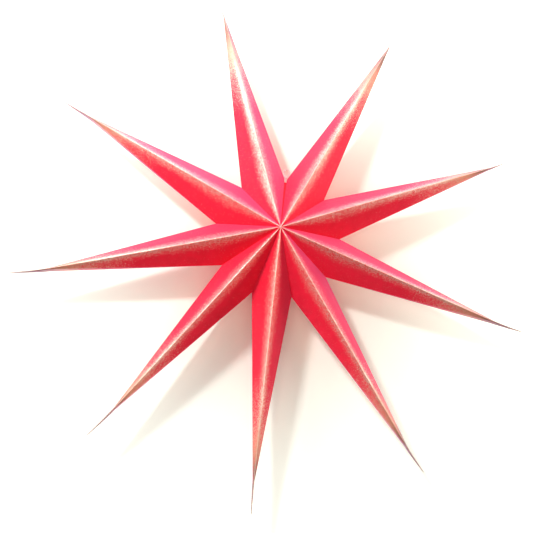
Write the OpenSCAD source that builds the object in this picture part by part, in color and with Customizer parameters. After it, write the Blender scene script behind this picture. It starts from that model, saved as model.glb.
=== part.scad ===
/* [Star] */
// Mean distance from the middle of the star to the tip of a ray
tip_radius = 290; // [240:1:360]
// Distance from the middle to the crotch between two rays
crotch_radius = 70; // [60:0.5:85]
// Height of the peak over the middle plane, front and back alike
peak_height = 36; // [28:0.5:44]

/* [Card] */
// Thickness of the card
card_t = 0.35; // [0.2:0.05:0.5]
// Width of a glue flap
flap_w = 9; // [6:0.5:11]
// Distance along the valley from the peak to a flap's first corner
flap_from_peak = 14; // [10:1:18]
// Distance along the valley from a flap's last corner to the crotch
flap_from_crotch = 5.5; // [5:0.5:8]
// Distance that a flap keeps from the ridge of the ray it is glued into
flap_to_ridge = 3; // [2:0.5:5]
// Width of the bend where a flap leaves its own panel
bend_w = 1.5; // [1:0.1:2.5]
// Thickness of the glue between a flap and the next ray
glue_t = 0.05; // [0.03:0.01:0.1]

/* [Needle tip] */
// Thickness of the four layers where a ray closes into its needle
needle_t = 1.6; // [1.2:0.1:2]
// Thickness of the needle at its end
tip_t = 0.7; // [0.4:0.1:0.9]
// Height of the needle at its end, front to back
tip_h = 1; // [0.8:0.1:1.4]

/* [Seam and hanging loop] */
// Width of the closing seam at the crotch
seam_gap = 3; // [2.4:0.1:3.4]
// Diameter of the thread
thread_d = 1.4; // [0.8:0.1:1.5]
// Diameter of a knot in the thread
knot_d = 4.2; // [3.6:0.1:5]
// Height of the loop over the middle of its knot
loop_h = 10; // [8:0.5:14]
// Width of the loop between the middles of its two strands
loop_w = 6.4; // [5:0.2:8]
// Gap between a knot and the card that it bears on
knot_gap = 0.1; // [0.05:0.05:0.3]

/* [Hidden] */

// The rays go clockwise from the first one left of the seam.
// How far each ray stands from the next, as shares of a full turn
spread = [42.2, 40.9, 41, 38.2, 36.2, 36.1, 38.3, 42.5, 44.6];
// How much further than the mean distance each tip reaches
reach = [10, -3, -5, -1, 4, 4, 1, 0, 1];
// How long the flat needle of each ray is
needle_l = [18, 8, 20, 34, 32, 32, 39, 41, 40];
// How far each needle's end leans to the left, seen along its ray from the middle
lean = [3, 1, 1, 2, 2, 1, -2, -3, 0];

rays = len(spread);
// Least height of a needle's side, as a share of its middle
least_side = 0.1;
loop_steps = 28;
tube_sides = 8;
$fn = 48;

function sum_to(list, count) = count == 0 ? 0 : list[count - 1] + sum_to(list, count - 1);
function unit(v) = v / norm(v);

full_turn = sum_to(spread, rays);
function spacing(n) = 360 * spread[(n + rays) % rays] / full_turn;
function ray_angle(n) = 90 + spacing(0) / 2 - 360 * sum_to(spread, n) / full_turn;

// The seam between the first two rays stands open, so both give way by this angle
seam_angle = asin(seam_gap / 2 / crotch_radius);
function joint_opening(n) = n == 0 ? seam_angle : 0;
function left_half(n) = spacing(n - 1) / 2 - joint_opening(n - 1);
function right_half(n) = spacing(n) / 2 - joint_opening(n);

// Ridge and valley lines both start at the peak
peak = [0, 0, peak_height];
function tip_x(n) = tip_radius + reach[n];
function root_x(n) = tip_x(n) - needle_l[n];
function ridge_z(x) = peak_height + (tip_h / 2 - peak_height) * x / tip_radius;
function ridge_line(angle) = [tip_radius * cos(angle), tip_radius * sin(angle), tip_h / 2] - peak;
function valley_line(angle) = [crotch_radius * cos(angle), crotch_radius * sin(angle), 0] - peak;
valley_l = norm(valley_line(0));

// Normal of the front panel between a ridge at 0 and a valley at this angle
function panel_normal(half) = cross(ridge_line(0), valley_line(half));
function panel_fall(half) = panel_normal(half).y / panel_normal(half).z;

// The card is laid inwards from the outer faces, which shrinks them about the star's middle
mean_normal = unit(panel_normal(180 / rays));
card_z = card_t / mean_normal.z;
glue_z = glue_t / mean_normal.z;
inner_share = 1 - card_z / peak_height;

// Six corners across a ray at x, clockwise from the ridge as seen from the tip
function cross_section(x, thick, top, left_fall, right_fall, shift) =
    let (
        half_t = thick / 2,
        left_z = max(top - half_t * left_fall, top * least_side),
        right_z = max(top - half_t * right_fall, top * least_side)
    )
    [
        [x, shift, top],
        [x, shift + half_t, left_z],
        [x, shift + half_t, -left_z],
        [x, shift, -top],
        [x, shift - half_t, -right_z],
        [x, shift - half_t, right_z]
    ];

// Corners of a ray's outer faces: both peaks, both crotches and the root of the needle
function outer_corners(n) =
    let (
        left = left_half(n),
        right = right_half(n),
        x = root_x(n)
    )
    concat(
        [
            peak,
            -peak,
            crotch_radius * [cos(left), sin(left), 0],
            crotch_radius * [cos(right), -sin(right), 0]
        ],
        cross_section(x, needle_t, ridge_z(x), panel_fall(left), panel_fall(right), 0)
    );

function needle_end(n) = cross_section(
    tip_x(n), tip_t, tip_h / 2, panel_fall(left_half(n)), panel_fall(right_half(n)), lean[n]
);

// Face lists go clockwise as seen from outside
section_corners = 6;
section_first = 4;
end_first = section_first + section_corners;
inner_first = end_first + section_corners;
function next(j) = (j + 1) % section_corners;
function inside(faces) = [for (f = faces) [for (j = [len(f) - 1 : -1 : 0]) f[j] + inner_first]];

panel_faces = [
    [0, 2, 5, 4], [0, 4, 9, 3], [2, 6, 5],
    [3, 9, 8], [1, 7, 6, 2], [1, 3, 8, 7]
];
needle_faces = [
    for (j = [0 : section_corners - 1])
        [section_first + j, section_first + next(j), end_first + next(j), end_first + j]
];
end_face = [for (j = [0 : section_corners - 1]) end_first + j];
root_face = [for (j = [0 : section_corners - 1]) section_first + j];
open_edges = [[0, 2], [2, 1], [1, 3], [3, 0]];
edge_faces = [for (e = open_edges) [e[0], e[0] + inner_first, e[1] + inner_first, e[1]]];

// Four panels folded round a hollow, closing into a flat needle
module folded_panels(n) {
    outer = outer_corners(n);
    polyhedron(
        points = concat(outer, needle_end(n), inner_share * outer),
        faces = concat(
            panel_faces, needle_faces, [end_face], edge_faces, inside(concat(panel_faces, [root_face]))
        )
    );
}

// Direction across a panel from the valley at one angle towards the ridge at another
function across(valley_at, ridge_at) =
    let (
        along = unit(valley_line(valley_at)),
        ridge = ridge_line(ridge_at)
    )
    unit(ridge - (ridge * along) * along);

function valley_point(s, angle) = peak + s * unit(valley_line(angle));
function deeper(p, depth) = p - [0, 0, depth];

// Upper face of a flap in one cut: bend, own valley, the next ray's valley and the free edge
function flap_cut(s_valley, s_edge, half, open) =
    let (depth = card_z + glue_z)
    concat(
        [deeper(valley_point(s_valley, open) + bend_w * across(open, half), card_z / 2)],
        [deeper(valley_point(s_valley, open), depth)],
        open > 0 ? [deeper(valley_point(s_valley, -open), depth)] : [],
        [deeper(valley_point(s_edge, -open) + flap_w * across(-open, -half), depth)]
    );

// The underside starts at the bend's own edge
function under(cut) = [for (j = [1 : len(cut) - 1]) deeper(cut[j], card_z)];

// Glue flap across the valley at angle 0, from the ray on its left into the ray on its right
module glue_flap(half, open) {
    valley_angle = acos(unit(valley_line(open)) * unit(ridge_line(half)));
    edge_start = max(flap_from_peak, (flap_w + flap_to_ridge) / tan(valley_angle));
    valley_end = valley_l - flap_from_crotch;
    first = flap_cut(flap_from_peak, edge_start, half, open);
    last = flap_cut(valley_end, valley_end - flap_w, half, open);
    top = len(first);
    side = 2 * top - 1;
    polyhedron(
        points = concat(first, under(first), last, under(last)),
        faces = concat(
            [for (j = [0 : top - 2]) [j, side + j, side + j + 1, j + 1]],
            [[0, top, side + top, side]],
            [for (j = [top : side - 2]) [j, j + 1, side + j + 1, side + j]],
            [[top - 1, side + top - 1, 2 * side - 1, side - 1]],
            [[0, 1, top], [side, side + top, side + 1]],
            [for (j = [1 : top - 2]) [j, j + 1, top + j, top + j - 1]],
            [for (j = [1 : top - 2]) [side + j, side + top + j - 1, side + top + j, side + j + 1]]
        )
    );
}

// One ray: a single folded sheet with its front and back flap
module card_ray(n) {
    rotate([0, 0, ray_angle(n)]) {
        folded_panels(n);
        rotate([0, 0, -spacing(n) / 2]) {
            for (back = [0, 1]) {
                mirror([0, 0, back]) glue_flap(spacing(n) / 2, joint_opening(n));
            }
        }
    }
}

// Where the inner knot bears on the two flaps behind the seam
valley_slope = atan(peak_height / crotch_radius);
knot_reach = knot_d / 2 + knot_gap;
flap_under = 2 * card_z + glue_z;
inner_knot_r = crotch_radius * (1 - (flap_under + knot_reach / cos(valley_slope)) / peak_height);

// Where the outer knot bears in the crotch between the first two rays
left_crotch = 2;
right_crotch = 3;
left_root = 5;
right_root = 9;
function crotch_half(n, crotch, root) =
    let (line = outer_corners(n)[root] - outer_corners(n)[crotch])
    spacing(0) / 2 + atan(abs(line.y) / line.x);
crotch_angle = min(crotch_half(0, right_crotch, right_root), crotch_half(1, left_crotch, left_root));
outer_knot_r = crotch_radius * cos(seam_angle)
    + knot_reach / sin(crotch_angle) - seam_gap / 2 / tan(crotch_angle);

// Drop-shaped loop that starts and ends in the outer knot, x outwards and y across.
// Widest point of the drop before it is stretched to the loop's width
drop_width = 0.77;
function loop_point(a) = [
    outer_knot_r + loop_h * (1 - cos(a)) / 2,
    loop_w / 2 * sin(a) * sin(a / 2) / drop_width,
    0
];
function loop_direction(a) = unit([
    loop_h * sin(a) / 2,
    loop_w / 2 * (cos(a) * sin(a / 2) + sin(a) * cos(a / 2) / 2) / drop_width,
    0
]);
function loop_ring(a) =
    let (
        tangent = loop_direction(a),
        side = [-tangent.y, tangent.x, 0]
    )
    [
        for (j = [0 : tube_sides - 1])
            let (b = 360 * j / tube_sides)
            loop_point(a) + thread_d / 2 * (cos(b) * side + sin(b) * [0, 0, 1])
    ];
// Angle at which the strands come out of the knot
loop_first = 20;
function loop_angle(i) = loop_first + (360 - 2 * loop_first) * i / loop_steps;

module thread_loop() {
    polyhedron(
        points = [for (i = [0 : loop_steps]) each loop_ring(loop_angle(i))],
        faces = concat(
            [[for (j = [0 : tube_sides - 1]) j]],
            [[for (j = [tube_sides - 1 : -1 : 0]) loop_steps * tube_sides + j]],
            [
                for (i = [0 : loop_steps - 1], j = [0 : tube_sides - 1])
                    let (k = (j + 1) % tube_sides)
                    [
                        i * tube_sides + j, (i + 1) * tube_sides + j,
                        (i + 1) * tube_sides + k, i * tube_sides + k
                    ]
            ]
        )
    );
}

// Thread that comes out of the seam between two knots and ends in the loop
module tied_thread() {
    rotate([0, 0, 90]) {
        for (r = [inner_knot_r, outer_knot_r]) {
            translate([r, 0, 0]) sphere(d = knot_d);
        }
        translate([inner_knot_r, 0, 0])
            rotate([0, 90, 0])
                cylinder(d = thread_d, h = outer_knot_r - inner_knot_r);
        thread_loop();
    }
}

// The star hangs upright with its front towards -Y, from the inside of the loop's top
hang_r = outer_knot_r + loop_h - thread_d / 2;
module hang() {
    rotate([90, 0, 0]) translate([0, -hang_r, 0]) children();
}

module ray(n) {
    color("crimson") hang() card_ray(n);
}

module hanging_loop() {
    color("white") hang() tied_thread();
}

ray(0);  // ray_1
ray(1);  // ray_2
ray(2);  // ray_3
ray(3);  // ray_4
ray(4);  // ray_5
ray(5);  // ray_6
ray(6);  // ray_7
ray(7);  // ray_8
ray(8);  // ray_9
hanging_loop();
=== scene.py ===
import math

import bmesh
import bpy
import numpy as np
from mathutils import Matrix, Vector


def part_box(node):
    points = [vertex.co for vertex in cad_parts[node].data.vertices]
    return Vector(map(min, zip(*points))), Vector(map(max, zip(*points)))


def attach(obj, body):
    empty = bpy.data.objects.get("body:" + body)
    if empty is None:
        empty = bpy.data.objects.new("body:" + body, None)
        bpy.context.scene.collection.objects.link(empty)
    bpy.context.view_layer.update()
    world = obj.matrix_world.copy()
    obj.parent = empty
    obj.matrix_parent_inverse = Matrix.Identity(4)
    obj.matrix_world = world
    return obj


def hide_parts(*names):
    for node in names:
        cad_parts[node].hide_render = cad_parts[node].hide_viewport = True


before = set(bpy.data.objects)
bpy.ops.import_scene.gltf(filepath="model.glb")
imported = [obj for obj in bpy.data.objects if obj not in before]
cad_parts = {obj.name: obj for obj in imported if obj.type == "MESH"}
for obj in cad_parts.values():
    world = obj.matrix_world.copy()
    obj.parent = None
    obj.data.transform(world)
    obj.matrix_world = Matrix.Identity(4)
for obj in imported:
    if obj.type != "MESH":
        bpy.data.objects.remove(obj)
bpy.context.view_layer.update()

# Sizes in metres, angles in degrees
MM = 0.001
RAYS = [f"ray_{n}" for n in range(1, 10)]

# Finding a ray's features among the corners of its solid
OUTER_SHARE = 0.7
CROTCH_SHARE = 0.15
END_CLEAR = 4 * MM
END_DEPTH = 2 * MM
ROOT_DEPTH = 1.5 * MM
FLAT = 0.01 * MM
SEAM_LEAST = 0.006
DIGITS = 8

# Mesh of a ray: side and face of its four panels, stations along it and rows across each panel
PANELS = ((1, 1), (1, -1), (-1, 1), (-1, -1))
BASE_STATIONS = 14
BODY_STATIONS = 26
NEEDLE_STATIONS = 8
PANEL_ROWS = 10
RIDGE_STEPS = 3
RIDGE_ROUND = 0.9 * MM
RIDGE_SHARE = 0.25
PANEL_BOW = 0.35 * MM
LEAN_CURVE = 1.6
CARD_MERGE = 0.004 * MM
FOLD_ANGLE = 25

# Glue flap, as in the solids, with its glue measured from front to back
FLAP_W = 9 * MM
FLAP_FROM_PEAK = 14 * MM
FLAP_FROM_CROTCH = 5.5 * MM
FLAP_TO_RIDGE = 3 * MM
BEND_W = 1.5 * MM
GLUE = 0.07 * MM

# Hanging thread: its loop, its two plies and its knots
LOOP_H = 10 * MM
LOOP_W = 6.4 * MM
LOOP_FIRST = 20
LOOP_STEPS = 90
DROP_WIDTH = 0.77
PLY_SHARE = 0.29
PLY_PITCH = 2.6 * MM
PLY_SIDES = 8
PATH_STEP = 0.25 * MM
PATH_LEAST = 8
SIDE_HINT = (0.3, 0.9, 0.2)
KNOT_STEPS = 160
KNOT_REACH = 3
KNOT_DEPTH = 1.6
THREAD_MERGE = 0.001 * MM
THREAD_ANGLE = 60

# Card, gold and thread colours
CARD_RED = (0.92, 0.006, 0.026, 1)
CARD_DEEP = (0.86, 0.005, 0.020, 1)
GOLD_PALE = (0.95, 0.66, 0.53, 1)
GOLD_DEEP = (0.78, 0.48, 0.36, 1)
TIP_COPPER = (0.72, 0.32, 0.20, 1)
# Dark bronze of the needle ends: partly the spray's colour, partly painted shade of the thin needle
NEEDLE_BRONZE_AND_SHADE = (0.19, 0.12, 0.07, 1)
# Cream of the ridge line: partly rubbed card, partly a painted highlight of the crease
RIDGE_WEAR_HIGHLIGHT = (0.94, 0.78, 0.68, 1)
SHEEN_PINK = (1.0, 0.42, 1.0, 1)
THREAD_SHADE = (0.72, 0.69, 0.67, 1)
THREAD_WHITE = (0.90, 0.88, 0.86, 1)

# Gold mist: stretches of a ray, measured from the star's middle, and shares of the card it covers
BAND_NARROWS = (20 * MM, 70 * MM)
BAND_SHARE_MIDDLE = 0.36
BAND_SHARE = 0.28
BAND_THICKENS = (70 * MM, 140 * MM)
BAND_MOST_MIDDLE = 0.55
BAND_MOST = 0.68
THIN_MIST = (130 * MM, 240 * MM)
THIN_MOST = 0.45
THICK_MIST = (190 * MM, 240 * MM)
THICK_MOST = 0.55
MIST_LOST = 0.05
COPPER_STARTS = (180 * MM, 232 * MM)
# Where the needle ends turn to the dark bronze with its painted shade
BRONZE_AND_SHADE_STARTS = (226 * MM, 264 * MM)
COPPER_DULLS = 0.5

# Grain of the mist and the card, with how finely a noise is broken up
COARSE = 2.0
MIDDLING = 3.0
FINE = 4.0
NOISE_CORE = (0.3, 0.7)
PATCH_SIZE = 30 * MM
PATCH_LEVELS = (0.88, 1.1)
SPECK_SIZE = 0.5 * MM
SPECK_EDGE = 0.04
SPECK_SHARE = 0.6
CLUMP_SIZE = 1.5 * MM
CLUMP_LEAST = 0.85
CLUMP_SPREAD = 0.3
# Pale line along the ridge, partly rubbed card and partly a painted highlight of the crease
WEAR_HIGHLIGHT_WIDTH = (0.15 * MM, 0.5 * MM)
WEAR_HIGHLIGHT_SIZE = 3 * MM
WEAR_HIGHLIGHT_CORE = (0.25, 0.5)
WEAR_HIGHLIGHT_LEVELS = (0.3, 0.8)
WEAR_HIGHLIGHT_DULLS = 0.8
MOTTLE_SIZE = 9 * MM
FIBRE_SIZE = 0.7 * MM
FIBRE_SHARE = 0.5
FLUFF_SIZE = 0.25 * MM

# Surface of the card, the gold and the thread
CARD_ROUGHNESS = 0.55
INSIDE_ROUGHNESS = 0.6
GOLD_ROUGHNESS = 0.34
CARD_SPECULAR = 0.12
CARD_SHEEN = 0.65
CARD_SHEEN_ROUGHNESS = 0.5
CARD_BUMP = 0.25
CARD_BUMP_DEPTH = 0.06 * MM
THREAD_ROUGHNESS = 0.85
THREAD_SHEEN = 0.3
THREAD_BUMP = 0.5
THREAD_BUMP_DEPTH = 0.08 * MM

# Camera, from the star's middle: x right, y away from the viewer, z up
CAMERA_FROM = Vector((-0.0415, -0.7618, -0.2537))
CAMERA_AT = Vector((-0.0071, 0.0, -0.0358))
CAMERA_ROLL = 8.46
IMAGE_SIDE = 533
FOCAL_PIXELS = 722
SENSOR = 36.0

# Stage: each plane's colour, its own painted white glow near and far, and the stretch over which that
# changes
PLANE_SIDE = 8.0
WALL_GAP = 1 * MM
WALL_COLOUR = (0.84, 0.95, 0.84, 1)
WALL_GLOW = (0.04, 0.5)
WALL_REACH = (0.06, 0.3)
FAR_WALL = 3.5
FAR_COLOUR = (0.9, 0.9, 0.89, 1)
FAR_GLOW = (0.75, 0.75)
FAR_REACH = (0.0, 1.0)
FLOOR_BELOW = 2.5
FLOOR_COLOUR = (0.72, 0.71, 0.69, 1)
FLOOR_GLOW = (0.0, 0.55)
FLOOR_REACH = (1.8, 3.2)
PALE_ROUGHNESS = 0.9
PALE_SPECULAR = 0.1
WORLD_COLOUR = (1, 0.97, 0.94, 1)
WORLD_BELOW = 0.0
WORLD_ABOVE = 0.1
WORLD_WHITE = 0.85

# Lamps: place from the star's middle, width and height, power in watts, and colour
LAMPS = {
    "key": ((-0.57, -0.72, 0.39), (0.12, 0.12), 6.8, (1.0, 0.97, 1.0)),
    "upper_left": ((-0.5, -0.12, 0.66), (0.2, 0.9), 2.0, (1.0, 0.95, 1.0)),
    "upper_right": ((0.5, -0.12, 0.66), (0.2, 0.9), 3.0, (1.0, 0.9, 0.8)),
    "top": ((-0.05, -0.08, 0.8), (0.5, 0.2), 2.4, (1.0, 0.94, 0.94)),
    "left_high": ((-0.8, -0.13, 0.42), (0.2, 0.9), 3.6, (1.0, 0.92, 1.0)),
    "left": ((-0.9, -0.45, 0.0), (0.4, 0.4), 2.8, (1.0, 0.86, 0.74)),
    "right": ((0.85, -0.26, 0.2), (0.3, 0.6), 3.6, (1.0, 0.84, 0.7)),
    "front_fill": ((-0.1, -1.3, -0.5), (1.0, 1.0), 4.6, (1.0, 0.82, 0.68)),
    "back_left": ((0.75, 1.1, 0.55), (0.8, 0.8), 5.5, (1.0, 1.0, 1.0)),
    "back_right": ((-0.9, 0.9, -0.1), (0.8, 0.8), 4.0, (1.0, 1.0, 1.0)),
}


# Reading the solids

def star_points(node):
    """Corners of a solid from the star's middle: x right, y up, z to the front."""
    corners = np.array([v.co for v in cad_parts[node].data.vertices])
    return np.unique(np.c_[corners[:, 0], corners[:, 2] - middle.z, -corners[:, 1]].round(DIGITS), axis=0)


def star_middle():
    """Middle of the star, half way between its two peaks, and a peak's height over it."""
    corners = [v.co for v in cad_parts[RAYS[0]].data.vertices]
    front, back = min(corners, key=lambda c: c.y), max(corners, key=lambda c: c.y)
    return (front + back) / 2, abs(back.y - front.y) / 2


middle, PEAK = star_middle()


def turned(points, angle):
    """Points in the star's plane turned by an angle in radians."""
    c, s = math.cos(angle), math.sin(angle)
    return points @ np.array([[c, s, 0], [-s, c, 0], [0, 0, 1]])


def ray_shape(node):
    """The few sizes of a ray that its mesh is built from, read from its solid."""
    points = star_points(node)
    reach = np.hypot(points[:, 0], points[:, 1])
    tip = reach.max()
    outer_part = points[(reach > OUTER_SHARE * tip) & (reach < tip - END_CLEAR)]
    root_reach = np.hypot(outer_part[:, 0], outer_part[:, 1])
    root = outer_part[root_reach > root_reach.max() - ROOT_DEPTH]
    angle = math.atan2(root[:, 1].mean(), root[:, 0].mean())
    local = turned(points, -angle)
    root, end = turned(root, -angle), local[reach > tip - END_DEPTH]
    flat = local[(np.abs(local[:, 2]) < FLAT) & (reach > CROTCH_SHARE * tip)]
    sides = {}
    for side in (1, -1):
        crotches = flat[flat[:, 1] * side > 0]
        crotches = crotches[np.argsort(np.hypot(crotches[:, 0], crotches[:, 1]))]
        sides[side] = np.abs(crotches[-1, :2])
        inner_share = np.hypot(*crotches[0, :2]) / np.hypot(*crotches[-1, :2])
    return {
        "angle": angle,
        "tip": end[:, 0].mean(),
        "tip_half": np.ptp(end[:, 1]) / 2,
        "tip_top": end[:, 2].max(),
        "lean": end[:, 1].mean(),
        "root": root[:, 0].mean(),
        "root_half": np.ptp(root[:, 1]) / 2,
        "root_top": root[:, 2].max(),
        "crotch": sides,
        "inner_share": inner_share,
    }


# Ray mesh

def stations(shape, side):
    """Distances from the middle at which a panel is cut, the crotch and the needle's root among them."""
    crotch_x = shape["crotch"][side][0]
    base = np.linspace(0, 1, BASE_STATIONS, endpoint=False) * crotch_x
    body = np.linspace(crotch_x, shape["root"], BODY_STATIONS, endpoint=False)
    needle = np.linspace(shape["root"], shape["tip"], NEEDLE_STATIONS)
    return np.concatenate([base, body, needle])


def ridge_height(shape, x):
    return np.interp(x, [0, shape["root"], shape["tip"]], [PEAK, shape["root_top"], shape["tip_top"]])


def half_width(shape, side, x):
    """How far the panel reaches to the side: to the valley, then the side crease, then the needle."""
    crotch_x, crotch_y = shape["crotch"][side]
    xs = [0, crotch_x, shape["root"], shape["tip"]]
    return np.interp(x, xs, [0, crotch_y, shape["root_half"], shape["tip_half"]])


def panel_fall(shape, side):
    crotch_x, crotch_y = shape["crotch"][side]
    return ridge_height(shape, crotch_x) / crotch_y


def needle_lean(shape, x):
    share = np.clip((x - shape["root"]) / (shape["tip"] - shape["root"]), 0, 1)
    return shape["lean"] * share ** LEAN_CURVE


def panel_rows(shape, side, face, bow):
    """Grid of one panel and, per corner, its distances to the ridge, the edge and the middle."""
    fall = panel_fall(shape, side)
    slope = math.atan(fall)
    ridge_slope = math.atan((panel_fall(shape, 1) + panel_fall(shape, -1)) / 2)
    grid, notes = [], []
    for x in stations(shape, side):
        edge = half_width(shape, side, x)
        top = ridge_height(shape, x)
        rounding = min(RIDGE_ROUND, RIDGE_SHARE * edge)
        row = []
        for step in range(RIDGE_STEPS + 1):
            turn = slope * (1 - step / RIDGE_STEPS)
            run = rounding * (math.tan(slope) - math.sin(turn))
            sink = rounding * (1 - math.cos(turn))
            y = run * math.cos(slope) - sink * math.sin(slope)
            z = top - run * math.sin(slope) - sink * math.cos(slope)
            if step == 0:
                y, z = 0.0, top - rounding * (1 / math.cos(ridge_slope) - 1)
            row.append((y, z))
        start = row[-1][0]
        for share in np.linspace(0, 1, PANEL_ROWS + 1)[1:]:
            y = start + (edge - start) * share
            along = min(x / shape["root"], 1)
            swell = bow * math.sin(math.pi * share) * math.sin(math.pi * along)
            row.append((y + swell * math.sin(slope), top - fall * y + swell * math.cos(slope)))
        shift = needle_lean(shape, x)
        grid.append([(x, side * y + shift, face * z) for y, z in row])
        notes.append([(y / math.cos(slope), (edge - y) / math.cos(slope), x) for y, _ in row])
    return np.array(grid), np.array(notes)


# Order of the card's two materials
OUTSIDE, INSIDE = 0, 1


class SheetMesh:
    """Collects corners, faces and the notes that the card's paint is worked out from."""

    def __init__(self):
        self.corners, self.faces, self.notes = [], [], []
        self.sides, self.side = [], OUTSIDE

    def add(self, grid, notes, flip):
        """Adds a grid of corners as quads and returns their numbers."""
        first = len(self.corners)
        self.corners += [tuple(p) for p in grid.reshape(-1, 3)]
        self.notes += [tuple(n) for n in notes.reshape(-1, notes.shape[-1])]
        numbers = first + np.arange(grid.shape[0] * grid.shape[1]).reshape(grid.shape[:2])
        self.bridge(numbers[:-1, :-1], numbers[1:, :-1], numbers[1:, 1:], numbers[:-1, 1:], flip)
        return numbers

    def bridge(self, a, b, c, d, flip):
        for quad in zip(a.flat, b.flat, c.flat, d.flat):
            self.close(quad[::-1] if flip else quad)

    def close(self, face):
        self.faces.append(tuple(int(n) for n in face))
        self.sides.append(self.side)

    def strip(self, one, other, flip):
        self.bridge(one[:-1], one[1:], other[1:], other[:-1], flip)


# What is noted at each corner, and the note where no mist falls
NOTE_NAMES = ("from_ridge", "from_edge", "along", "sprayed")
HIDDEN_NOTE = (1.0, 1.0, 0.0, 0.0)


def add_panels(mesh, shape, bows):
    """Four panels with the card's thickness, open at the valleys and closed into the needle."""
    share = shape["inner_share"]
    outer, inner = {}, {}
    for (side, face), bow in zip(PANELS, bows):
        grid, notes = panel_rows(shape, side, face, bow)
        sprayed = np.ones(notes.shape[:2] + (1,))
        flip = side * face < 0
        outer[side, face] = mesh.add(grid, np.concatenate([notes, sprayed], axis=2), flip)
        mesh.side = INSIDE
        hollow = BASE_STATIONS + BODY_STATIONS + 1
        blank = np.broadcast_to(np.array(HIDDEN_NOTE), (hollow, grid.shape[1], len(HIDDEN_NOTE)))
        inner[side, face] = mesh.add(grid[:hollow] * share, blank, not flip)
        rim = BASE_STATIONS + 1
        mesh.strip(outer[side, face][:rim, -1], inner[side, face][:rim, -1], flip)
        mesh.side = OUTSIDE
    for side in (1, -1):
        front, back = outer[side, 1], outer[side, -1]
        mesh.strip(front[BASE_STATIONS:, -1], back[BASE_STATIONS:, -1], side < 0)
        front, back = inner[side, 1], inner[side, -1]
        mesh.strip(front[BASE_STATIONS:, -1], back[BASE_STATIONS:, -1], side > 0)
    for ring in (outer, inner):
        rows = [ring[1, 1][-1], ring[1, -1][-1][::-1], ring[-1, -1][-1], ring[-1, 1][-1][::-1]]
        mesh.close(np.concatenate(rows))


def unit(v):
    return v / np.linalg.norm(v)


def add_flaps(mesh, shape, half, opening):
    """Front and back glue flap on the clockwise side, bent under the next ray's panel."""
    crotch_r = np.hypot(*shape["crotch"][-1])
    card_z = (1 - shape["inner_share"]) * PEAK
    depth = card_z + GLUE
    peak = np.array([0, 0, PEAK])

    def valley(angle):
        return unit(np.array([crotch_r * math.cos(angle), crotch_r * math.sin(angle), -PEAK]))

    def across(valley_at, ridge_at):
        ridge = np.array([math.cos(ridge_at), math.sin(ridge_at), 0]) * shape["tip"] - peak
        along = valley(valley_at)
        return unit(ridge - (ridge @ along) * along)

    def down(p, amount):
        return p - np.array([0, 0, amount])

    def cut(s_valley, s_edge):
        own, other = peak + s_valley * valley(opening), peak + s_valley * valley(-opening)
        free = peak + s_edge * valley(-opening) + FLAP_W * across(-opening, -half)
        top = [down(own + BEND_W * across(opening, half), card_z / 2), down(own, depth)]
        top += [down(other, depth)] if opening else []
        top.append(down(free, depth))
        under = [top[0]] + [down(p, card_z) for p in top[1:]]
        return top, under

    valley_l = math.hypot(crotch_r, PEAK)
    ridge = unit(np.array([math.cos(half), math.sin(half), 0]) * shape["tip"] - peak)
    spread = math.acos(valley(opening) @ ridge)
    edge_start = max(FLAP_FROM_PEAK, (FLAP_W + FLAP_TO_RIDGE) / math.tan(spread))
    valley_end = valley_l - FLAP_FROM_CROTCH
    first = cut(FLAP_FROM_PEAK, edge_start)
    last = cut(valley_end, valley_end - FLAP_W)
    mesh.side = INSIDE
    for face in (1, -1):
        rings = []
        for top, under in (first, last):
            ring = turned(np.array(top + under[:0:-1]), -half) * np.array([1, 1, face])
            rings.append(ring)
        grid = np.array([np.vstack([r, r[:1]]) for r in rings])
        notes = np.broadcast_to(np.array(HIDDEN_NOTE), grid.shape[:2] + (len(HIDDEN_NOTE),))
        numbers = mesh.add(grid, notes, face < 0)
        mesh.close(numbers[0, :-1][::face])
        mesh.close(numbers[1, :-1][::-face])


def to_row_frame(corners):
    return [(x, -z, y + middle.z) for x, y, z in corners]


def mesh_object(name, corners, faces, notes=None):
    data = bpy.data.meshes.new(name)
    data.from_pydata(corners, [], faces)
    if notes is not None:
        for column, label in enumerate(NOTE_NAMES):
            field = data.attributes.new(label, "FLOAT", "POINT")
            field.data.foreach_set("value", np.array(notes)[:, column].astype(np.float32))
    obj = bpy.data.objects.new(name, data)
    bpy.context.scene.collection.objects.link(obj)
    return obj


def tidy_mesh(obj, merge, sharp_angle):
    """Joins corners that meet, drops empty faces and shades smooth up to the fold angle."""
    work = bmesh.new()
    work.from_mesh(obj.data)
    bmesh.ops.remove_doubles(work, verts=work.verts, dist=merge)
    bmesh.ops.dissolve_degenerate(work, edges=work.edges, dist=merge)
    bmesh.ops.recalc_face_normals(work, faces=work.faces)
    for face in work.faces:
        face.smooth = True
    for edge in work.edges:
        if len(edge.link_faces) != 2 or edge.calc_face_angle(0) > sharp_angle:
            edge.smooth = False
    work.to_mesh(obj.data)
    work.free()


def make_ray(number, shapes, materials):
    shape = shapes[number]
    following = shapes[(number + 1) % len(shapes)]
    gap = (shape["angle"] - following["angle"]) % (2 * math.pi)
    own_half = math.atan2(*shape["crotch"][-1][::-1])
    opening = gap / 2 - own_half
    mesh = SheetMesh()
    dice = np.random.default_rng(number)
    add_panels(mesh, shape, dice.uniform(-PANEL_BOW, PANEL_BOW, len(PANELS)))
    add_flaps(mesh, shape, gap / 2, opening if opening > math.radians(SEAM_LEAST) else 0.0)
    corners = turned(np.array(mesh.corners), shape["angle"])
    obj = mesh_object(f"card_{RAYS[number]}", to_row_frame(corners), mesh.faces, mesh.notes)
    for material in materials:
        obj.data.materials.append(material)
    obj.data.polygons.foreach_set("material_index", mesh.sides)
    tidy_mesh(obj, CARD_MERGE, math.radians(FOLD_ANGLE))
    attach(obj, "root")
    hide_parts(RAYS[number])


# Materials

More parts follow.
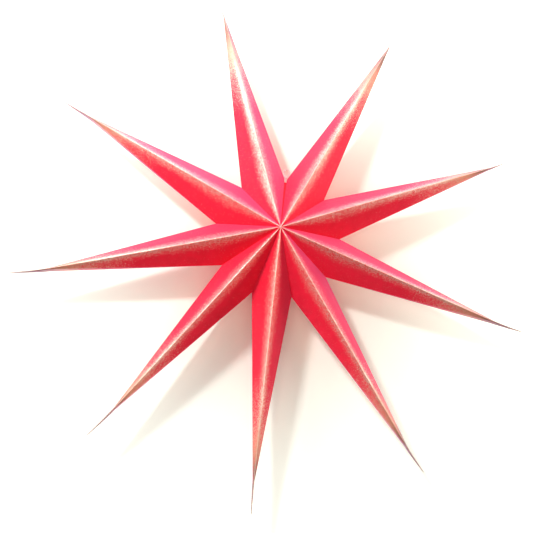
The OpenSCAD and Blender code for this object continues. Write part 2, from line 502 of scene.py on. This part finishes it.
class Paint:
    """Short hand for building the nodes of a material or a world."""

    def __init__(self, owner, shader="Principled BSDF"):
        owner.use_nodes = True
        self.owner, self.tree = owner, owner.node_tree
        self.shader = self.tree.nodes[shader]

    def node(self, kind, inputs=None, **settings):
        made = self.tree.nodes.new(kind)
        for key, value in settings.items():
            setattr(made, key, value)
        for key, value in (inputs or {}).items():
            self.feed(made.inputs[key], value)
        return made

    def feed(self, socket, value):
        if isinstance(value, bpy.types.NodeSocket):
            self.tree.links.new(value, socket)
        else:
            socket.default_value = value

    def math(self, operation, a, b=0.0, c=0.0, clamp=False):
        made = self.node("ShaderNodeMath", {0: a, 1: b, 2: c}, operation=operation, use_clamp=clamp)
        return made.outputs[0]

    def ramp(self, value, low, high, to_low=0.0, to_high=1.0):
        made = self.node(
            "ShaderNodeMapRange",
            {"Value": value, "From Min": low, "From Max": high, "To Min": to_low, "To Max": to_high},
            interpolation_type="SMOOTHSTEP",
        )
        return made.outputs["Result"]

    def blend(self, share, a, b):
        made = self.node("ShaderNodeMix", {"Factor": share, "A": a, "B": b}, data_type="RGBA")
        return made.outputs["Result"]

    def seen(self):
        """1 on the way from the eye, straight or by gloss or glass, and 0 where light is gathered."""
        path = self.node("ShaderNodeLightPath").outputs
        straight = self.math("ADD", path["Is Camera Ray"], path["Is Glossy Ray"])
        return self.math("ADD", straight, path["Is Transmission Ray"], clamp=True)

    def field(self, name):
        return self.node("ShaderNodeAttribute", attribute_name=name).outputs["Fac"]

    def noise(self, where, size, detail):
        made = self.node("ShaderNodeTexNoise", {"Vector": where, "Scale": 1 / size, "Detail": detail})
        return made.outputs["Fac"]

    def bump(self, height, strength, depth):
        inputs = {"Height": height, "Strength": strength, "Distance": depth}
        self.feed(self.shader.inputs["Normal"], self.node("ShaderNodeBump", inputs).outputs["Normal"])

    def cells(self, where, size):
        """A different even random number for every cell of about this size."""
        made = self.node("ShaderNodeTexVoronoi", {"Vector": where, "Scale": 1 / size})
        return self.node("ShaderNodeSeparateColor", {"Color": made.outputs["Color"]}).outputs["Red"]


def gold_mist(p, where, along):
    """Share of gold over the red: dense on the ridge, thin at the edge, all over the tip."""
    ridge, edge = p.field("from_ridge"), p.field("from_edge")
    across = p.math("DIVIDE", ridge, p.math("ADD", ridge, edge))
    reach = p.ramp(along, *BAND_NARROWS, BAND_SHARE_MIDDLE, BAND_SHARE)
    fade = p.math("POWER", p.math("DIVIDE", across, reach), 2)
    band = p.math("EXPONENT", p.math("MULTIPLY", fade, -1))
    most = p.ramp(along, *BAND_THICKENS, BAND_MOST_MIDDLE, BAND_MOST)
    thin = p.ramp(along, *THIN_MIST, 0.0, THIN_MOST)
    thick = p.ramp(along, *THICK_MIST, 0.0, THICK_MOST)
    tip = p.math("ADD", thin, thick)
    patchy = p.ramp(p.noise(where, PATCH_SIZE, COARSE), *NOISE_CORE, *PATCH_LEVELS)
    density = p.math("MULTIPLY", p.math("MULTIPLY_ADD", band, most, tip), patchy)
    density = p.math("SUBTRACT", density, MIST_LOST)
    return p.math("MULTIPLY", density, p.field("sprayed"), clamp=True)


def ridge_wear_and_highlight(p, where):
    """Pale line along the fold: partly where the card has rubbed through, partly a painted highlight of
    the rounded crease.
    """
    line = p.ramp(p.field("from_ridge"), *WEAR_HIGHLIGHT_WIDTH, 1.0, 0.0)
    rubbed = p.ramp(p.noise(where, WEAR_HIGHLIGHT_SIZE, MIDDLING), *WEAR_HIGHLIGHT_CORE, *WEAR_HIGHLIGHT_LEVELS)
    return p.math("MULTIPLY", p.math("MULTIPLY", line, rubbed), p.field("sprayed"))


def mottled_red(p, where):
    mottle = p.ramp(p.noise(where, MOTTLE_SIZE, FINE), *NOISE_CORE)
    return p.blend(mottle, CARD_DEEP, CARD_RED)


def card_material():
    """Red satin card with a speckled gold mist along the ridge and over the tip."""
    p = Paint(bpy.data.materials.new("red_card"))
    where = p.node("ShaderNodeTexCoord").outputs["Object"]
    along = p.field("along")

    specks, clumps = p.cells(where, SPECK_SIZE), p.cells(where, CLUMP_SIZE)
    uneven = p.math("MULTIPLY_ADD", clumps, CLUMP_SPREAD, CLUMP_LEAST)
    density = p.math("MULTIPLY", gold_mist(p, where, along), uneven)
    grains = p.ramp(p.math("SUBTRACT", density, specks), -SPECK_EDGE, SPECK_EDGE)
    haze = p.math("MULTIPLY", density, 1 - SPECK_SHARE)
    gold = p.math("ADD", p.math("MULTIPLY", grains, SPECK_SHARE), haze, clamp=True)

    # Cream ridge line, partly wear and partly a painted highlight, and less metallic there
    wear_and_highlight = ridge_wear_and_highlight(p, where)
    copper = p.ramp(along, *COPPER_STARTS)
    foil = p.blend(copper, p.blend(clumps, GOLD_DEEP, GOLD_PALE), TIP_COPPER)
    # The needle ends darken: partly bronze spray, partly painted shade
    foil = p.blend(p.ramp(along, *BRONZE_AND_SHADE_STARTS), foil, NEEDLE_BRONZE_AND_SHADE)
    colour = p.blend(wear_and_highlight, p.blend(gold, mottled_red(p, where), foil), RIDGE_WEAR_HIGHLIGHT)
    metal = p.math("MULTIPLY", gold, p.math("MULTIPLY_ADD", wear_and_highlight, -WEAR_HIGHLIGHT_DULLS, 1.0))
    metal = p.math("MULTIPLY", metal, p.math("MULTIPLY_ADD", copper, -COPPER_DULLS, 1.0))

    fibre = p.math("MULTIPLY", p.noise(where, FIBRE_SIZE, FINE), FIBRE_SHARE)
    relief = p.math("ADD", fibre, p.math("MULTIPLY", gold, 1 - FIBRE_SHARE))
    p.feed(p.shader.inputs["Base Color"], colour)
    p.feed(p.shader.inputs["Metallic"], metal)
    p.feed(p.shader.inputs["Roughness"], p.ramp(gold, 0.0, 1.0, CARD_ROUGHNESS, GOLD_ROUGHNESS))
    p.feed(p.shader.inputs["Specular IOR Level"], CARD_SPECULAR)
    p.feed(p.shader.inputs["Sheen Weight"], CARD_SHEEN)
    p.feed(p.shader.inputs["Sheen Roughness"], CARD_SHEEN_ROUGHNESS)
    p.feed(p.shader.inputs["Sheen Tint"], SHEEN_PINK)
    p.bump(relief, CARD_BUMP, CARD_BUMP_DEPTH)
    return p.owner


def inside_material():
    """The same card where no mist falls: its inside, its flaps and its cut edges."""
    p = Paint(bpy.data.materials.new("red_card_inside"))
    where = p.node("ShaderNodeTexCoord").outputs["Object"]
    p.feed(p.shader.inputs["Base Color"], mottled_red(p, where))
    p.feed(p.shader.inputs["Roughness"], INSIDE_ROUGHNESS)
    p.feed(p.shader.inputs["Specular IOR Level"], CARD_SPECULAR)
    return p.owner


def thread_material():
    """White thread with a soft, fluffy surface."""
    p = Paint(bpy.data.materials.new("thread"))
    where = p.node("ShaderNodeTexCoord").outputs["Object"]
    fluff = p.noise(where, FLUFF_SIZE, FINE)
    p.feed(p.shader.inputs["Base Color"], p.blend(fluff, THREAD_SHADE, THREAD_WHITE))
    p.feed(p.shader.inputs["Roughness"], THREAD_ROUGHNESS)
    p.feed(p.shader.inputs["Sheen Weight"], THREAD_SHEEN)
    p.bump(fluff, THREAD_BUMP, THREAD_BUMP_DEPTH)
    return p.owner


# Hanging thread

def even_path(points):
    """Points along a line, spaced evenly at about the path step."""
    points = np.array(points)
    length = np.r_[0, np.cumsum(np.linalg.norm(np.diff(points, axis=0), axis=1))]
    at = np.linspace(0, length[-1], max(int(length[-1] / PATH_STEP), PATH_LEAST))
    return np.array([[np.interp(s, length, points[:, k]) for k in range(3)] for s in at])


def path_sides(path):
    """Two side directions at each point, carried along without twist."""
    tangents = np.gradient(path, axis=0)
    tangents /= np.linalg.norm(tangents, axis=1)[:, None]
    side = unit(np.cross(tangents[0], SIDE_HINT))
    sides = []
    for t in tangents:
        side = unit(side - (side @ t) * t)
        sides.append(side)
    sides = np.array(sides)
    return sides, np.cross(tangents, sides)


def tube(path, radius, shown):
    """Round tube along a path, added to the shown corners and faces."""
    a, b = path_sides(path)
    turn = np.linspace(0, 2 * math.pi, PLY_SIDES, endpoint=False)
    c, s = np.cos(turn)[:, None], np.sin(turn)[:, None]
    rings = path[:, None] + radius * (c * a[:, None] + s * b[:, None])
    corners, faces = shown
    first = len(corners)
    corners += [tuple(p) for p in rings.reshape(-1, 3)]
    for i in range(len(path) - 1):
        for j in range(PLY_SIDES):
            k = (j + 1) % PLY_SIDES
            low, high = first + i * PLY_SIDES, first + (i + 1) * PLY_SIDES
            faces.append((low + j, low + k, high + k, high + j))
    faces.append(tuple(first + j for j in reversed(range(PLY_SIDES))))
    faces.append(tuple(first + (len(path) - 1) * PLY_SIDES + j for j in range(PLY_SIDES)))


def yarn(points, diameter, shown):
    """Two plies twisted round each other along a route."""
    path = even_path(points)
    a, b = path_sides(path)
    length = np.r_[0, np.cumsum(np.linalg.norm(np.diff(path, axis=0), axis=1))]
    for start in (0, math.pi):
        turn = start + 2 * math.pi * length / PLY_PITCH
        off = diameter * (0.5 - PLY_SHARE) * (np.cos(turn)[:, None] * a + np.sin(turn)[:, None] * b)
        tube(path + off, diameter * PLY_SHARE, shown)


def knot_route(centre, diameter, thread_d):
    """Overhand knot drawn tight, as a closed three-lobed turn of thread."""
    turn = np.linspace(0, 2 * math.pi, KNOT_STEPS)
    size = (diameter - thread_d) / 2 / KNOT_REACH
    x = np.sin(turn) + 2 * np.sin(2 * turn)
    z = np.cos(turn) - 2 * np.cos(2 * turn)
    y = -KNOT_DEPTH * np.sin(3 * turn)
    return np.array(centre) + size * np.c_[x, y, z]


def make_thread():
    """Loop, seam run and two knots of twisted thread, where the solid has them."""
    low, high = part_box("hanging_loop")
    thread_d = high.z
    knot_d = high.y - low.y
    outer_knot = np.array([0, 0, thread_d / 2 - LOOP_H])
    inner_knot = np.array([0, 0, low.z + knot_d / 2])
    turn = np.radians(np.linspace(LOOP_FIRST, 360 - LOOP_FIRST, LOOP_STEPS))
    loop = outer_knot + np.c_[
        LOOP_W / 2 * np.sin(turn) * np.sin(turn / 2) / DROP_WIDTH,
        0 * turn,
        LOOP_H * (1 - np.cos(turn)) / 2,
    ]
    shown = ([], [])
    yarn(loop, thread_d, shown)
    yarn([inner_knot, outer_knot], thread_d, shown)
    for centre in (inner_knot, outer_knot):
        yarn(knot_route(centre, knot_d, thread_d), thread_d, shown)
    obj = mesh_object("hanging_thread", *shown)
    tidy_mesh(obj, THREAD_MERGE, math.radians(THREAD_ANGLE))
    obj.data.materials.append(thread_material())
    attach(obj, "root")
    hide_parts("hanging_loop")


# Stage, light and camera

def stage_plane(name, location, rotation, material):
    half = PLANE_SIDE / 2
    corners = [(-half, -half, 0), (half, -half, 0), (half, half, 0), (-half, half, 0)]
    obj = mesh_object(name, corners, [(0, 1, 2, 3)])
    obj.location, obj.rotation_euler = location, rotation
    obj.data.materials.append(material)
    return obj


def pale_material(name, colour, white, reach, one_sided):
    """Plain pale surface with a painted white glow of its own, seen straight or in gloss, near its middle
    and far from it.
    """
    p = Paint(bpy.data.materials.new(name))
    p.feed(p.shader.inputs["Base Color"], colour)
    p.feed(p.shader.inputs["Roughness"], PALE_ROUGHNESS)
    p.feed(p.shader.inputs["Specular IOR Level"], PALE_SPECULAR)
    where = p.node("ShaderNodeTexCoord").outputs["Object"]
    away = p.node("ShaderNodeVectorMath", {0: where}, operation="LENGTH").outputs["Value"]
    share = p.math("MULTIPLY", p.seen(), p.ramp(away, *reach, *white))
    glow = p.node("ShaderNodeEmission", {"Strength": share}).outputs[0]
    mixed = p.node("ShaderNodeAddShader", {0: p.shader.outputs[0], 1: glow}).outputs[0]
    if one_sided:
        behind = p.node("ShaderNodeNewGeometry").outputs["Backfacing"]
        clear = p.node("ShaderNodeBsdfTransparent").outputs[0]
        mixed = p.node("ShaderNodeMixShader", {0: behind, 1: mixed, 2: clear}).outputs[0]
    p.feed(p.tree.nodes["Material Output"].inputs["Surface"], mixed)
    p.owner.cycles.emission_sampling = "NONE"
    return p.owner


def area_light(name, offset, size, power, colour):
    """Soft lamp that looks at the star's middle."""
    data = bpy.data.lights.new(name, "AREA")
    data.shape, data.energy, data.color = "ELLIPSE", power, colour
    data.size, data.size_y = size
    obj = bpy.data.objects.new(name, data)
    bpy.context.scene.collection.objects.link(obj)
    obj.location = middle + Vector(offset)
    obj.rotation_euler = (-Vector(offset)).to_track_quat("-Z", "Y").to_euler()
    obj.visible_camera = False


def make_stage():
    """Backdrop close behind the star, a far one in front of it and the floor below."""
    wall = stage_plane(
        "backdrop",
        middle + Vector((0, PEAK + WALL_GAP, 0)),
        (math.radians(90), 0, 0),
        pale_material("backdrop_white", WALL_COLOUR, WALL_GLOW, WALL_REACH, True),
    )
    wall.visible_shadow = False
    stage_plane(
        "far_backdrop",
        middle + Vector((0, -FAR_WALL, 0)),
        (math.radians(-90), 0, 0),
        pale_material("far_white", FAR_COLOUR, FAR_GLOW, FAR_REACH, True),
    )
    stage_plane(
        "floor",
        middle + Vector((0, 0, -FLOOR_BELOW)),
        (0, 0, 0),
        pale_material("floor_pale", FLOOR_COLOUR, FLOOR_GLOW, FLOOR_REACH, False),
    )


def make_world():
    """Pale surround that sheds a little light, more from above than from below."""
    p = Paint(bpy.data.worlds.new("studio"), "Background")
    bpy.context.scene.world = p.owner
    p.feed(p.shader.inputs["Color"], WORLD_COLOUR)
    direction = p.node("ShaderNodeTexCoord").outputs["Generated"]
    up = p.node("ShaderNodeSeparateXYZ", {0: direction}).outputs["Z"]
    light = p.ramp(up, -1.0, 1.0, WORLD_BELOW, WORLD_ABOVE)
    white = p.math("MULTIPLY", p.seen(), WORLD_WHITE)
    p.feed(p.shader.inputs["Strength"], p.math("MAXIMUM", light, white))


def make_camera():
    data = bpy.data.cameras.new("camera")
    data.sensor_width = SENSOR
    data.lens = FOCAL_PIXELS / IMAGE_SIDE * SENSOR
    obj = bpy.data.objects.new("camera", data)
    bpy.context.scene.collection.objects.link(obj)
    look = (CAMERA_AT - CAMERA_FROM).to_track_quat("-Z", "Y")
    roll = Matrix.Rotation(math.radians(CAMERA_ROLL), 4, "Z")
    obj.matrix_world = Matrix.Translation(middle + CAMERA_FROM) @ look.to_matrix().to_4x4() @ roll
    bpy.context.scene.camera = obj


bpy.context.scene.view_settings.view_transform = "Standard"
make_camera()
make_world()
make_stage()
for name, lamp in LAMPS.items():
    area_light(name, *lamp)
shapes = [ray_shape(node) for node in RAYS]
card_sides = (card_material(), inside_material())
for number in range(len(RAYS)):
    make_ray(number, shapes, card_sides)
make_thread()
